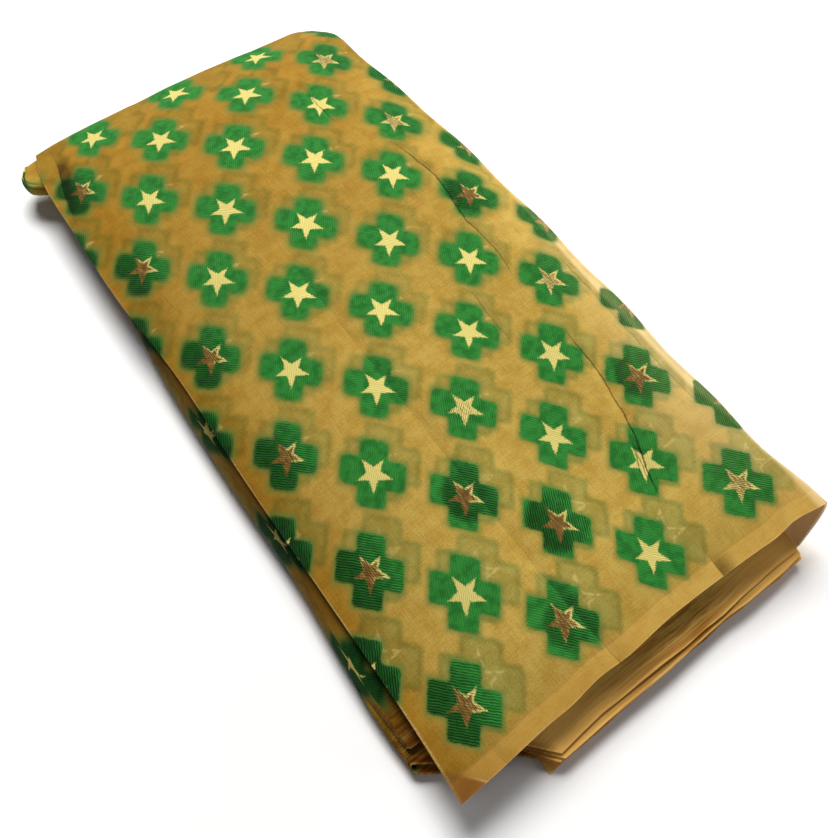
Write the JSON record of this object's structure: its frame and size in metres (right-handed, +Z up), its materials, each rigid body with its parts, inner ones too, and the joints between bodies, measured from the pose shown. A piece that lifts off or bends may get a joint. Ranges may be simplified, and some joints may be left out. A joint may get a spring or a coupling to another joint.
{
  "type": "folded dress fabric",
  "caption": "Folded length of sheer mustard jacquard cloth with green cross motifs and gold stars, doubled and folded back and forth into a packet.",
  "frame": {"origin": "under the middle of the packet, on the surface that it lies on", "axes": "+Y along the packet's long side, from the woven edges towards the fold that doubles the cloth; +Z up; +X across the folds, from the cut end of the top panel towards its fold"},
  "size_m": [0.296, 0.569, 0.0565],
  "materials": {
    "cloth": "sheer woven ground, soft sheen, brocade motifs"
  },
  "bodies": {
    "root": {"folded_cloth": "cloth"}
  },
  "joints": []
}
